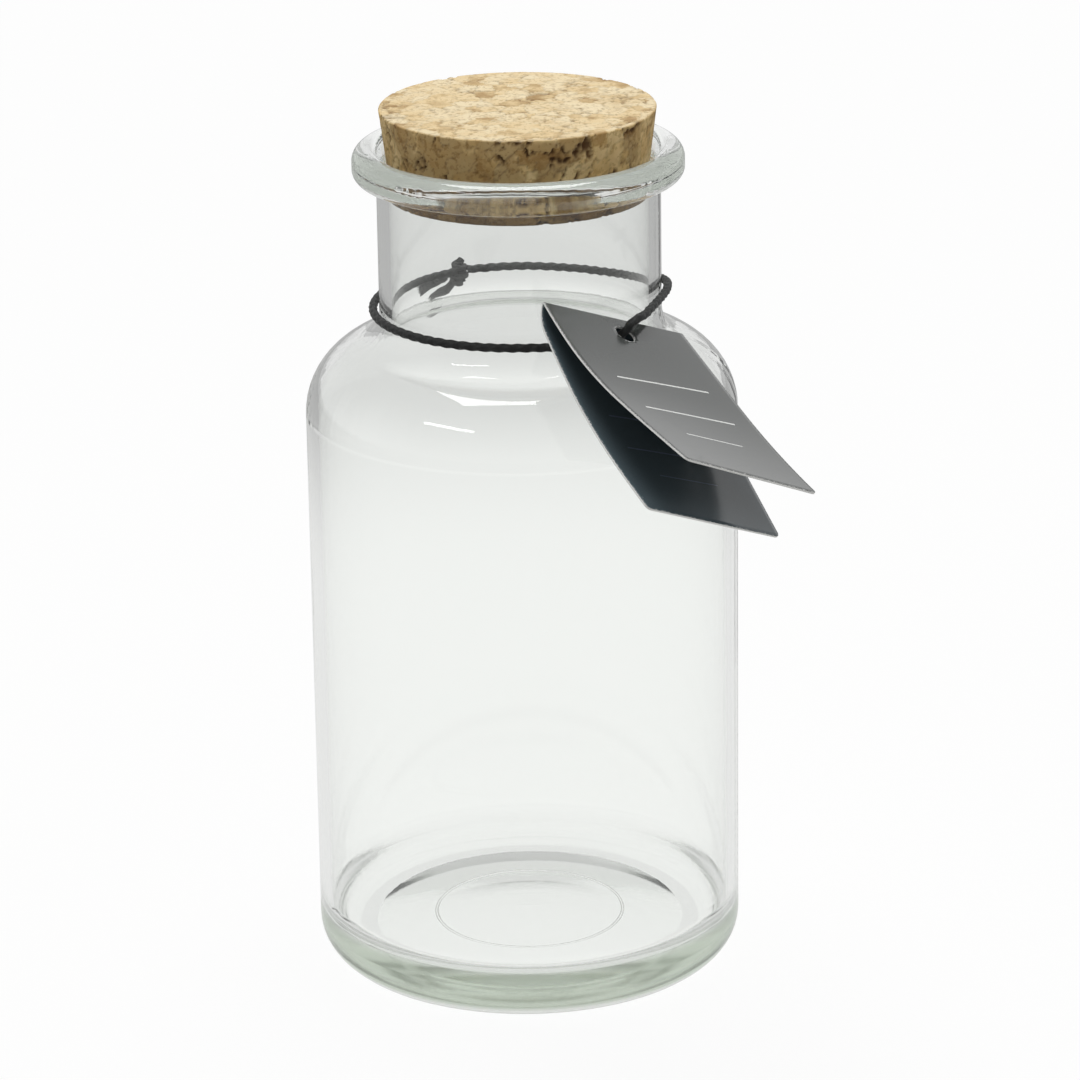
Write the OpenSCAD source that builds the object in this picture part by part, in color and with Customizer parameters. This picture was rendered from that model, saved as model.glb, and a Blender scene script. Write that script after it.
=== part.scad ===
// Storage bottle of clear glass with a cork stopper.
// A cord round the neck carries a tag, which is one card folded in two.
//
// Millimetres. +Z is up and the origin is the centre of the base, on the table.
// Azimuths are degrees round +Z from +X, so the front of the bottle is at 270.

/* [Bottle] */
// Outside diameter of the body
body_d = 100; // [84:1:130]
// Height of the glass, from the table to the top of the rim
glass_h = 197.5; // [150:0.5:260]
// Outside diameter of the neck
neck_d = 65; // [50:0.5:80]
// Height from the crown of the shoulder to the top of the rim
neck_h = 45; // [36:0.5:70]
// Thickness of the glass in the body, the shoulder and the neck
wall = 2.8; // [2:0.1:4]
// Radius of the shoulder
shoulder_r = 18; // [12:0.5:24]
// Radius of the hollow curve where the shoulder runs into the neck
fillet_r = 8; // [5:0.5:10]

/* [Base] */
// Thickness of the floor beside the wall
floor_t = 11.5; // [8:0.5:16]
// Rise of the floor towards its middle
floor_crown = 1.5; // [0.5:0.1:3]
// Radius inside, where the wall runs into the floor
inner_heel_r = 5.5; // [3:0.5:8]
// Radius outside, where the wall runs into the base
heel_r = 10; // [6:0.5:14]
// Width of the ring that the bottle stands on
ring_w = 4; // [2:0.5:8]
// Height of the hollow under the base
push_up_h = 3.5; // [2:0.1:5]
// Radius of the mould's round mark in that hollow
mark_r = 22; // [8:0.5:25]
// Depth of the mark
mark_depth = 0.4; // [0.2:0.1:0.8]

/* [Rim] */
// How far the rim stands out from the neck
rim_out = 5.5; // [4.5:0.1:9]
// Height of the rim
rim_h = 7.2; // [6:0.1:10]
// Radius of the rim's upper edge
rim_top_r = 3.2; // [2:0.1:3.4]
// Radius of the rim's lower edge
rim_under_r = 2.2; // [1:0.1:3]
// Radius of the hollow corner under the rim
rim_corner_r = 1.5; // [0.5:0.1:3]
// Height of the funnel in the mouth
funnel_h = 7.5; // [5:0.1:10]
// How far the funnel opens out beyond the bore, on each side
funnel_flare = 2.5; // [1.5:0.1:3]
// Radius of the mouth's edge, between the funnel and the crest of the rim
mouth_edge_r = 2; // [1:0.1:2.4]

/* [Stopper] */
// Height of the cork
cork_h = 20; // [14:0.5:30]
// Taper of the cork, in degrees a side
cork_taper = 7.3; // [4:0.1:9]
// Depth of the cork below the edge where it wedges
cork_seat = 3.5; // [2:0.5:8]
// Clearance between the cork and that edge
cork_fit = 0.05; // [0.02:0.01:0.1]
// Chamfer at the cork's cut edges
cork_chamfer = 0.5; // [0.2:0.1:1]

/* [Cord] */
// Diameter of the cord
cord_d = 2; // [1.6:0.1:2.4]
// Clearance between the cord and the glass
cord_gap = 0.4; // [0.3:0.05:0.6]
// Radius of the middle of each turn in the knot
knot_turn_r = 1.3; // [1.1:0.1:1.8]
// Spacing of the knot's turns
knot_pitch = 1.8; // [1.4:0.1:2]

/* [Tag] */
// Width of the tag, along its fold
tag_w = 43; // [30:1:56]
// Length of each leaf
tag_l = 62; // [50:1:76]
// Thickness of the card
card_t = 0.5; // [0.3:0.05:0.6]
// Diameter of the punched holes
hole_d = 5; // [4.5:0.1:6]
// Distance from the fold to the middle of each hole
hole_from_fold = 6; // [5.5:0.1:7]
// Radius of the bend that the back leaf leaves the fold with
bend_r = 8; // [6:0.5:12]
// Length of the front leaf that is flat, before its end curls outwards
front_flat = 28; // [15:1:45]

/* [Hidden] */

$fn = 128;
past = 1;          // how far a cut runs past what it cuts

// Bottle
body_r = body_d / 2;
neck_r = neck_d / 2;
rim_r = neck_r + rim_out;
bore_r = neck_r - wall;
shoulder_c = [body_r - shoulder_r, glass_h - neck_h - shoulder_r];
// The hollow curve touches the shoulder's curve, or on a wide body the flat between them
fillet_out = max(0, neck_r + fillet_r - shoulder_c[0]);
fillet_c = [neck_r + fillet_r,
            shoulder_c[1] + sqrt(pow(shoulder_r + fillet_r, 2) - pow(fillet_out, 2))];
rim_z = glass_h - rim_h;
wedge_z = glass_h - funnel_h;
mouth_edge_c = [bore_r + funnel_flare + mouth_edge_r, glass_h - mouth_edge_r];
ring_in_r = body_r - heel_r - ring_w;
push_up_r = (pow(ring_in_r, 2) + pow(push_up_h, 2)) / (2 * push_up_h);
mark_z = push_up_h - push_up_r + sqrt(pow(push_up_r, 2) - pow(mark_r, 2));
floor_r = body_r - wall - inner_heel_r;
crown_r = (pow(floor_r, 2) + pow(floor_crown, 2)) / (2 * floor_crown);

// Stopper
cork_z = wedge_z - cork_seat;
cork_low_r = bore_r - cork_fit - cork_seat * tan(cork_taper);
cork_top_r = cork_low_r + cork_h * tan(cork_taper);

// Cord: the loop lies on the hollow curve at the foot of the neck
loop_r = neck_r + cord_gap + cord_d / 2;
loop_rise = 0.3;                     // above the top of that curve
loop_z = fillet_c[1] + loop_rise;
cord_sides = 8;

// Tag: the middle of its fold, how the fold lies and how far the shoulder lifts the tag
fold_azimuth = 306;
fold_out = 1.25;
fold_rise = 5.1;
fold_turn = 38.5;
fold_tilt = 21;
fold_r = loop_r + fold_out;
fold_mid = [fold_r * cos(fold_azimuth), fold_r * sin(fold_azimuth), loop_z + fold_rise];
// How far the shoulder leans out, seen from the fold as the tangent to its curve.
// A shoulder that leans out past the angle that the tag hangs at lifts the tag.
to_shoulder = shoulder_c - [fold_r, fold_mid[2]];
shoulder_lean = atan2(to_shoulder[0], -to_shoulder[1]) + asin(shoulder_r / norm(to_shoulder));
hang_lean = 31;
tag_lift = max(0, shoulder_lean - hang_lean);
// Angles of the leaves, from straight down the tag's own -Z towards its -Y
front_angle = 66;
back_start_angle = 8;
back_angle = 57;
front_curl = 7.5;
curl_r = (tag_l - front_flat) * 180 / (PI * front_curl);
back_bend = back_angle - back_start_angle;
back_flat = tag_l - bend_r * back_bend * PI / 180;
bend_steps = 12;
// The back leaf's hole, in its section: how far round the bend, and where
hole_turn = min(back_bend, hole_from_fold / bend_r * 180 / PI);
hole_past = hole_from_fold - bend_r * hole_turn * PI / 180;
back_hole = bend_r * [sin(hole_turn), 1 - cos(hole_turn)] + hole_past * [cos(hole_turn), sin(hole_turn)];
spine_r = card_t;                    // the folded card's rounded spine
front_gap = card_t * 1.4;            // where the front leaf starts, clear of the spine

// Route of the loop. Left and right of the tag a point is [azimuth, outward of
// the loop, above the loop]. Through the tag it is [x, y, z] in the tag's frame.
// By the knot it is [along the loop from the knot, outward, above the loop].
knot_azimuth = 115;
loop_start = [[1.5, 1.1, -0.2], [4.7, 0, 0]];
loop_left = [for (a = [133 : 10 : 263]) [a, 0, 0]];
loop_front = [[270, 0, 0], [277, 0.2, 0], [283, 0.8, 0]];
through_tag = [[-7.8, 1.5, -8.5], [-5.2, -0.4, -7.7], [-2.3, -1.6, -6.8], [-0.2, -2.6, -5.3],
               [0.3, -3.8, -3.4], [0.4, -4.8, -1.8], [1.2, -5.2, 0.1], [3.3, -4.7, 1.6],
               [6.1, -3.3, 2.5], [9.1, -1.2, 3.8], [12, 0.9, 4.9]];
loop_right = [[334, 1.1, 5.3], [341, 0.4, 5.1], [349, 0.1, 4.9], [357, 0, 4.7], [366, 0, 4.1],
              [376, 0, 3.2], [387, 0, 2.2], [398, 0, 1.3], [410, 0, 0.6], [422, 0, 0.2]];
loop_back = [[434, 0, 0], [446, 0, 0], [457, 0, 0]];
loop_end = [[-4.7, 0, 0], [-1.5, 1.1, -0.2]];
knot_at = [0, 2.5, -1];
tail_long = [[0.9, 3.4, -2.9], [2, 4.3, -4.9], [2.9, 6.1, -6.7], [3.4, 8.3, -8.2], [3.6, 10.4, -9.8],
             [3.7, 12.2, -11.5]];
tail_short = [[2, 2.8, -1], [4.3, 2.6, -1.5], [6.9, 2.5, -2], [9.6, 2.8, -2.8], [12.3, 3.5, -4.3]];

function unit(v) = v / norm(v);

// A point given as [azimuth, outward of the loop, above the loop]
function round_neck(p) = [(loop_r + p[1]) * cos(p[0]), (loop_r + p[1]) * sin(p[0]), loop_z + p[2]];

// A point given as [along the loop from the knot, outward, above the loop]
function by_knot(p) = round_neck([knot_azimuth + p[0] / loop_r * 180 / PI, p[1], p[2]]);

// The same for a tail, lifted where the glass of the shoulder would be in its way
function over_shoulder(p) =
    let (clear_r = shoulder_r + cord_gap + cord_d / 2,
         out = loop_r + p[1] - shoulder_c[0],
         lowest = shoulder_c[1] + sqrt(max(0, pow(clear_r, 2) - pow(out, 2))) - loop_z)
    by_knot([p[0], p[1], max(p[2], lowest)]);

// A point given in the tag's frame
function in_tag(p) =
    let (y = p[1] * cos(tag_lift) + p[2] * sin(tag_lift),
         up = p[2] * cos(tag_lift) - p[1] * sin(tag_lift),
         x = p[0] * cos(fold_tilt) + up * sin(fold_tilt),
         z = up * cos(fold_tilt) - p[0] * sin(fold_tilt))
    fold_mid + [x * cos(fold_turn) - y * sin(fold_turn), x * sin(fold_turn) + y * cos(fold_turn), z];

loop_route = concat([for (p = loop_start) by_knot(p)],
                    [for (p = concat(loop_left, loop_front)) round_neck(p)],
                    [for (p = through_tag) in_tag(p)],
                    [for (p = concat(loop_right, loop_back)) round_neck(p)],
                    [for (p = loop_end) by_knot(p)]);

// Direction of a route at each of its points
function headings(route) =
    let (last = len(route) - 1)
    [for (i = [0 : last]) unit(route[min(i + 1, last)] - route[max(i - 1, 0)])];

// One side direction per point, carried along the route without twisting
function carried(v, heading) = unit(v - (v * heading) * heading);
function sides_along(heads) =
    [for (i = 0, v = carried([0, 0, 1], heads[0]); i < len(heads);
          i = i + 1, v = i < len(heads) ? carried(v, heads[i]) : v) v];

// Round bar of cord_sides flats along a route, with a flat end at each end
module cord_along(route) {
    heads = headings(route);
    sides = sides_along(heads);
    rings = len(route);
    points = [for (i = [0 : rings - 1], k = [0 : cord_sides - 1])
        let (a = k * 360 / cord_sides)
        route[i] + cord_d / 2 * (cos(a) * sides[i] + sin(a) * cross(heads[i], sides[i]))];
    walls = [for (i = [0 : rings - 2], k = [0 : cord_sides - 1])
        let (a = i * cord_sides + k, b = i * cord_sides + (k + 1) % cord_sides)
        each [[a, a + cord_sides, b], [b, a + cord_sides, b + cord_sides]]];
    first_end = [[for (k = [0 : cord_sides - 1]) k]];
    last_end = [[for (k = [cord_sides - 1 : -1 : 0]) (rings - 1) * cord_sides + k]];
    polyhedron(points, concat(first_end, walls, last_end), convexity = 6);
}

// Half section of the bottle's outside, less a wall of the given thickness, from
// a low edge up to the top of the neck
module vessel_section(inset, low) {
    difference() {
        union() {
            translate([0, low]) square([body_r - inset, shoulder_c[1] - low]);
            intersection() {
                translate(shoulder_c) circle(shoulder_r - inset);
                translate(shoulder_c) square([shoulder_r, shoulder_r]);
            }
            translate([0, shoulder_c[1]]) square([shoulder_c[0], shoulder_r - inset]);
            polygon([[0, shoulder_c[1]], shoulder_c, fillet_c, [0, fillet_c[1]]]);
        }
        translate(fillet_c) circle(fillet_r + inset);
    }
    translate([0, fillet_c[1]]) square([neck_r - inset, glass_h - fillet_c[1]]);
}

// Half section of the base with its round heel, up to the straight wall
module base_section() {
    square([body_r - heel_r, heel_r]);
    intersection() {
        translate([body_r - heel_r, heel_r]) circle(heel_r);
        square([body_r, heel_r]);
    }
}

// Half section of the rim, with rounded edges and a hollow corner under it
module rim_section() {
    translate([0, rim_z]) square([rim_r - rim_under_r, rim_h - rim_top_r]);
    translate([0, rim_z]) square([rim_r - rim_top_r, rim_h]);
    translate([0, rim_z + rim_under_r]) square([rim_r, rim_h - rim_under_r - rim_top_r]);
    translate([rim_r - rim_under_r, rim_z + rim_under_r]) circle(rim_under_r);
    translate([rim_r - rim_top_r, glass_h - rim_top_r]) circle(rim_top_r);
    difference() {
        translate([0, rim_z - rim_corner_r]) square([neck_r + rim_corner_r, rim_corner_r]);
        translate([neck_r + rim_corner_r, rim_z - rim_corner_r]) circle(rim_corner_r);
    }
}

// Half section of what the mouth's funnel takes out of the rim
module funnel_section() {
    difference() {
        polygon([[0, wedge_z], [bore_r, wedge_z],
                 [bore_r + funnel_flare, mouth_edge_c[1]],
                 [mouth_edge_c[0], glass_h], [mouth_edge_c[0], glass_h + past],
                 [0, glass_h + past]]);
        translate(mouth_edge_c) circle(mouth_edge_r);
    }
}

// Half section of the hollow inside, from its domed floor up
module hollow_section() {
    difference() {
        union() {
            vessel_section(wall, floor_t + inner_heel_r);
            translate([0, floor_t]) square([floor_r, inner_heel_r]);
            intersection() {
                translate([floor_r, floor_t + inner_heel_r]) circle(inner_heel_r);
                translate([0, floor_t]) square([body_r, inner_heel_r]);
            }
        }
        translate([0, floor_t + floor_crown - crown_r]) circle(crown_r, $fn = 4 * $fn);
    }
    funnel_section();
}

module glass_bottle() {
    color([0.8, 0.87, 0.86, 0.4])
    rotate_extrude() difference() {
        intersection() {
            union() {
                vessel_section(0, heel_r);
                base_section();
                rim_section();
            }
            square([body_r, glass_h]);
        }
        hollow_section();
        translate([0, push_up_h - push_up_r]) circle(push_up_r, $fn = 4 * $fn);
        translate([mark_r, mark_z]) circle(mark_depth);
    }
}

module cork_stopper() {
    color([0.78, 0.62, 0.43])
    translate([0, 0, cork_z]) rotate_extrude() polygon([
        [0, 0], [cork_low_r - cork_chamfer, 0],
        [cork_low_r + cork_chamfer * tan(cork_taper), cork_chamfer],
        [cork_top_r - cork_chamfer * tan(cork_taper), cork_h - cork_chamfer],
        [cork_top_r - cork_chamfer, cork_h], [0, cork_h]]);
}

module neck_cord() {
    color([0.1, 0.1, 0.1]) cord_along(loop_route);
}

// The knot: three turns of the cord pulled tight round its two ends
module cord_knot() {
    color([0.1, 0.1, 0.1])
    translate(by_knot(knot_at)) {
        cylinder(r = knot_turn_r, h = 2 * knot_pitch, center = true, $fn = 48);
        for (turn = [-1 : 1])
            translate([0, 0, turn * knot_pitch])
            rotate_extrude($fn = 48) translate([knot_turn_r, 0]) circle(cord_d / 2, $fn = 32);
    }
}

module cord_tail_long() {
    color([0.1, 0.1, 0.1]) cord_along([for (p = tail_long) over_shoulder(p)]);
}

module cord_tail_short() {
    color([0.1, 0.1, 0.1]) cord_along([for (p = tail_short) over_shoulder(p)]);
}

// The tag's frame: +X runs along the fold, the leaves hang towards -Y and -Z
module in_tag_frame() {
    translate(fold_mid) rotate([0, fold_tilt, fold_turn]) rotate([-tag_lift, 0, 0]) children();
}

// Turns a section drawn along +X into card that runs towards a leaf's direction,
// given as an angle from -Z towards -Y
module card_at(angle) {
    rotate([90 - angle, 0, 0]) rotate([90, 0, -90])
    linear_extrude(tag_w, center = true, convexity = 4) children();
}

// Points along one face of a card's section: straight on along +X from start,
// round a bend towards +Y from bend_at, and straight on again for a last stretch.
// The side is 1 for the face inside the bend and -1 for the other.
function card_face(start, bend_at, radius, angle, last, side) =
    let (r = radius - side * card_t / 2,
         bend = [for (k = [0 : bend_steps]) let (a = angle * k / bend_steps)
                 [bend_at + r * sin(a), radius - r * cos(a)]],
         before = start < bend_at ? [[start, side * card_t / 2]] : [],
         after = last > 0 ? [bend[bend_steps] + last * [cos(angle), sin(angle)]] : [])
    concat(before, bend, after);

function reversed(points) = [for (i = [len(points) - 1 : -1 : 0]) points[i]];

module card_section(start, bend_at, radius, angle, last) {
    polygon(concat(card_face(start, bend_at, radius, angle, last, -1),
                   reversed(card_face(start, bend_at, radius, angle, last, 1))));
}

// Hole through a leaf, at a point of its section and square to the card there
module punched_hole(leaf_angle, at, turn) {
    rotate([90 - leaf_angle, 0, 0]) translate([0, -at[0], at[1]]) rotate([-turn, 0, 0])
    cylinder(d = hole_d, h = 6 * card_t, center = true, $fn = 48);
}

module tag_back_leaf() {
    color([0.12, 0.14, 0.18])
    in_tag_frame() difference() {
        card_at(back_start_angle) {
            circle(spine_r, $fn = 32);
            card_section(0, 0, bend_r, back_bend, back_flat);
        }
        punched_hole(back_start_angle, back_hole, hole_turn);
    }
}

module tag_front_leaf() {
    color([0.42, 0.43, 0.42])
    in_tag_frame() difference() {
        card_at(front_angle) card_section(front_gap, front_flat, curl_r, front_curl, 0);
        punched_hole(front_angle, [hole_from_fold, 0], 0);
    }
}

glass_bottle();
cork_stopper();
neck_cord();
cord_knot();
cord_tail_long();
cord_tail_short();
tag_back_leaf();
tag_front_leaf();
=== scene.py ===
"""Looks of a lidded glass canister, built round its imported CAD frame.

The bottle keeps its CAD shape and gets a glass finish. The cork, the cord with its knot
and tails, and the folded card tag are modelled here in full, each in the space that its
CAD solid holds. Everything is in metres, with +Z up and -Y towards the front.
"""

import logging
import math
import random
from dataclasses import dataclass
from enum import Enum

import bpy
import numpy as np
from mathutils import Matrix, Vector, geometry, kdtree, noise


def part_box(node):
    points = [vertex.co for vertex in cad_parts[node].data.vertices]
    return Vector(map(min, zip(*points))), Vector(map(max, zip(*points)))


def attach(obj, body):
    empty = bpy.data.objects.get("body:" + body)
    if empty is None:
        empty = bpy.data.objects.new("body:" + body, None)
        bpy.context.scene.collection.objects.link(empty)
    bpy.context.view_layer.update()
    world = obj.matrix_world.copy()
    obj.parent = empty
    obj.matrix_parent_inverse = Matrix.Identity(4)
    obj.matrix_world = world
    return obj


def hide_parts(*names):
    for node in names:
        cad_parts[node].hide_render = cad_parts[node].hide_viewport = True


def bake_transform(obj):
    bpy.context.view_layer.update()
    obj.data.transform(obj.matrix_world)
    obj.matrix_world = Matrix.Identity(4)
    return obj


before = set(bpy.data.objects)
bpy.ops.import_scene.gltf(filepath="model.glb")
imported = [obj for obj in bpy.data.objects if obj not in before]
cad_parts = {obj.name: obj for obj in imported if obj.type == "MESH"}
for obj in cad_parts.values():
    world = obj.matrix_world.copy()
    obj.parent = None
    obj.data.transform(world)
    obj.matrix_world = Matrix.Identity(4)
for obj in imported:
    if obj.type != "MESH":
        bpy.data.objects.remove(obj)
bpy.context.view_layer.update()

LOG = logging.getLogger("canister")
MM = 0.001
Colour = tuple[float, float, float, float]


# ---------------------------------------------------------------- shader toolkit


class Coords(Enum):
    """Where a material takes its texture coordinates from."""

    OBJECT = "Object"
    UV = "UV"
    GENERATED = "Generated"


class NodeTree:
    """A node tree while it is being built."""

    def __init__(self, tree: bpy.types.NodeTree) -> None:
        """Starts from an empty tree.

        Args:
            tree: The tree of a material, a world or a node group.
        """
        tree.nodes.clear()
        self.tree = tree

    def feed(self, socket: bpy.types.NodeSocket, value: object) -> None:
        """Links a socket to another one, or sets its plain value.

        Args:
            socket: The input to feed.
            value: An output socket, or a plain value.
        """
        if isinstance(value, bpy.types.NodeSocket):
            self.tree.links.new(value, socket)
        else:
            socket.default_value = value

    def add(self, kind: str, sockets: dict | None = None, **settings: object) -> bpy.types.Node:
        """Adds a node.

        Args:
            kind: The node's type name.
            sockets: Input names or numbers, each with what feeds it.
            **settings: Properties of the node itself.

        Returns:
            The new node.
        """
        node = self.tree.nodes.new(kind)
        for name, value in settings.items():
            setattr(node, name, value)
        for key, value in (sockets or {}).items():
            self.feed(node.inputs[key], value)
        return node

    def maths(self, operation: str, *values: object, clamp: bool = False) -> bpy.types.NodeSocket:
        """Adds a Math node.

        Args:
            operation: The operation's name.
            *values: What feeds its inputs, in order.
            clamp: Whether the result stays from 0 to 1.

        Returns:
            The result's socket.
        """
        sockets = dict(enumerate(values))
        return self.add("ShaderNodeMath", sockets, operation=operation, use_clamp=clamp).outputs[0]

    def mix(self, factor: object, first: object, second: object, blend: str = "MIX") -> bpy.types.NodeSocket:
        """Mixes two colours.

        Args:
            factor: How much of the second one shows, from 0 to 1.
            first: The first colour.
            second: The second colour.
            blend: The blend type.

        Returns:
            The mixed colour's socket.
        """
        node = self.add("ShaderNodeMix", data_type="RGBA", blend_type=blend)
        for socket, value in zip((node.inputs[0], node.inputs[6], node.inputs[7]), (factor, first, second)):
            self.feed(socket, value)
        return node.outputs[2]

    def spread(self, value: object, low: float, high: float, to_low: float = 0.0,
               to_high: float = 1.0) -> bpy.types.NodeSocket:
        """Maps a range of values smoothly to another range.

        Args:
            value: What to map.
            low: The value that becomes to_low, with all below it.
            high: The value that becomes to_high, with all above it.
            to_low: The lowest result.
            to_high: The highest result.

        Returns:
            The result's socket.
        """
        sockets = {0: value, 1: low, 2: high, 3: to_low, 4: to_high}
        return self.add("ShaderNodeMapRange", sockets, interpolation_type="SMOOTHSTEP").outputs[0]

    def scaled(self, vector: object, scale: tuple[float, float, float]) -> bpy.types.NodeSocket:
        """Multiplies a vector by a scale for each axis.

        Args:
            vector: The vector's socket.
            scale: The three factors.

        Returns:
            The result's socket.
        """
        return self.add("ShaderNodeVectorMath", {0: vector, 1: scale}, operation="MULTIPLY").outputs[0]

    def where(self, coords: Coords) -> bpy.types.NodeSocket:
        """The texture coordinate of that kind."""
        return self.add("ShaderNodeTexCoord").outputs[coords.value]

    def bump(self, height: object, strength: float, distance: float,
             normal: object | None = None) -> bpy.types.NodeSocket:
        """Turns a height into a normal.

        Args:
            height: The height's socket.
            strength: The Bump node's strength.
            distance: How high a height of 1 is, in metres.
            normal: A normal to start from, or None.

        Returns:
            The normal's socket.
        """
        sockets = {"Height": height, "Strength": strength, "Distance": distance}
        if normal is not None:
            sockets["Normal"] = normal
        return self.add("ShaderNodeBump", sockets).outputs[0]


class GroupTree(NodeTree):
    """A shader node group with named inputs and outputs, built once and used in many materials."""

    def __init__(self, name: str, inputs: dict[str, object], outputs: list[str]) -> None:
        """Makes the group's interface.

        Args:
            name: The group's name.
            inputs: Input names, each with its plain value; None makes a vector input.
            outputs: Names of the float outputs.
        """
        super().__init__(bpy.data.node_groups.new(name, "ShaderNodeTree"))
        for label, value in inputs.items():
            kind = "NodeSocketVector" if value is None else "NodeSocketFloat"
            socket = self.tree.interface.new_socket(name=label, in_out="INPUT", socket_type=kind)
            if value is not None:
                socket.default_value = value
        for label in outputs:
            self.tree.interface.new_socket(name=label, in_out="OUTPUT", socket_type="NodeSocketFloat")
        self.given = self.add("NodeGroupInput").outputs
        self.result = self.add("NodeGroupOutput").inputs


def grain_group() -> bpy.types.NodeTree:
    """Fine uneven grain, coarse and fine together. Outputs a Mask from 0 to 1 and a Height."""
    group = GroupTree("fine_grain", {"Vector": None, "Scale": 100.0, "Detail": 3.0, "Contrast": 0.5},
                      ["Mask", "Height"])
    coarse = group.add("ShaderNodeTexNoise", {"Vector": group.given["Vector"], "Scale": group.given["Scale"],
                                              "Detail": group.given["Detail"], "Roughness": 0.55})
    fine_scale = group.maths("MULTIPLY", group.given["Scale"], 5.3)
    fine = group.add("ShaderNodeTexNoise", {"Vector": group.given["Vector"], "Scale": fine_scale,
                                            "Detail": 2.0, "Roughness": 0.6})
    height = group.maths("MULTIPLY_ADD", fine.outputs[0], 0.25, coarse.outputs[0])
    centred = group.maths("SUBTRACT", height, 0.625)
    gained = group.maths("MULTIPLY", centred, group.maths("MULTIPLY", group.given["Contrast"], 6.0))
    group.feed(group.result["Mask"], group.maths("ADD", gained, 0.5, clamp=True))
    group.feed(group.result["Height"], height)
    return group.tree


def smudge_group() -> bpy.types.NodeTree:
    """Faint handling marks: broad patches broken up by finer ones. Outputs a Mask from 0 to 1."""
    group = GroupTree("smudges", {"Vector": None, "Scale": 20.0, "Amount": 0.5}, ["Mask"])
    broad = group.add("ShaderNodeTexNoise", {"Vector": group.given["Vector"], "Scale": group.given["Scale"],
                                             "Detail": 2.0, "Distortion": 0.8})
    finer_scale = group.maths("MULTIPLY", group.given["Scale"], 7.0)
    finer = group.add("ShaderNodeTexNoise", {"Vector": group.given["Vector"], "Scale": finer_scale,
                                             "Detail": 4.0})
    patches = group.spread(broad.outputs[0], 0.52, 0.72)
    broken = group.maths("MULTIPLY", patches, group.spread(finer.outputs[0], 0.35, 0.65))
    group.feed(group.result["Mask"], group.maths("MULTIPLY", broken, group.given["Amount"]))
    return group.tree


@dataclass(frozen=True)
class Effects:
    """The shared node groups."""

    grain: bpy.types.NodeTree
    smudges: bpy.types.NodeTree


class MaterialTree(NodeTree):
    """The node tree of a new material, with its output."""

    def __init__(self, name: str) -> None:
        """Makes the material.

        Args:
            name: The material's name.
        """
        self.material = bpy.data.materials.new(name)
        self.material.use_nodes = True
        super().__init__(self.material.node_tree)
        self.output = self.add("ShaderNodeOutputMaterial")

    def effect(self, group: bpy.types.NodeTree, sockets: dict) -> bpy.types.Node:
        """Places a shared group in this material.

        Args:
            group: The shared node group.
            sockets: Its inputs, each with what feeds it.

        Returns:
            The group's node.
        """
        node = self.add("ShaderNodeGroup", node_tree=group)
        for name, value in sockets.items():
            self.feed(node.inputs[name], value)
        return node

    def stored(self, name: str) -> bpy.types.NodeSocket:
        """A number that the mesh stores at each point, as a socket."""
        return self.add("ShaderNodeAttribute", attribute_name=name).outputs["Fac"]


# ---------------------------------------------------------------- mesh toolkit


def curve_through(points: np.ndarray, step: float) -> np.ndarray:
    """Runs a smooth curve through points and walks along it in even steps.

    Args:
        points: The points, one to a row.
        step: The length of a step.

    Returns:
        The points of the walk, from the first point to the last.
    """
    gaps = np.linalg.norm(np.diff(points, axis=0), axis=1)
    slopes = np.diff(points, axis=0) / gaps[:, None]
    inner = (slopes[:-1] * gaps[1:, None] + slopes[1:] * gaps[:-1, None]) / (gaps[:-1] + gaps[1:])[:, None]
    slopes = np.vstack([slopes[:1], inner, slopes[-1:]])
    t = np.linspace(0, 1, 16, endpoint=False)[:, None]
    pieces = [(1 + 2 * t) * (1 - t) ** 2 * points[i] + t ** 2 * (3 - 2 * t) * points[i + 1]
              + gaps[i] * (t * (1 - t) ** 2 * slopes[i] - t ** 2 * (1 - t) * slopes[i + 1])
              for i in range(len(gaps))]
    dense = np.vstack([*pieces, points[-1:]])
    walked = np.concatenate([[0.0], np.cumsum(np.linalg.norm(np.diff(dense, axis=0), axis=1))])
    marks = np.linspace(0, walked[-1], max(2, round(walked[-1] / step)) + 1)
    return np.column_stack([np.interp(marks, walked, dense[:, axis]) for axis in range(3)])


def lengths_along(route: np.ndarray) -> np.ndarray:
    """The distance walked from the start of a route to each of its points."""
    return np.concatenate([[0.0], np.cumsum(np.linalg.norm(np.diff(route, axis=0), axis=1))])


def frames_along(route: np.ndarray) -> tuple[np.ndarray, np.ndarray]:
    """Carries two side directions along a route without twisting them.

    Args:
        route: The route's points.

    Returns:
        The first and the second side direction at each point.
    """
    heads = np.gradient(route, axis=0)
    heads /= np.linalg.norm(heads, axis=1)[:, None]
    side = np.cross(heads[0], (0.0, 0.0, 1.0) if abs(heads[0][2]) < 0.9 else (1.0, 0.0, 0.0))
    sides = []
    for head in heads:
        side = side - side.dot(head) * head
        side = side / np.linalg.norm(side)
        sides.append(side)
    sides = np.array(sides)
    return sides, np.cross(heads, sides)


def grid_faces(rows: int, columns: int, first: int = 0) -> list[tuple[int, ...]]:
    """Faces of a tube of rows, each a closed ring of columns.

    Args:
        rows: How many rings there are.
        columns: How many points each ring has.
        first: The number of the first point.

    Returns:
        The faces, as numbers of points.
    """
    faces = []
    for row in range(rows - 1):
        low = first + row * columns
        for column in range(columns):
            after = (column + 1) % columns
            faces.append((low + column, low + after, low + columns + after, low + columns + column))
    return faces


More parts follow.
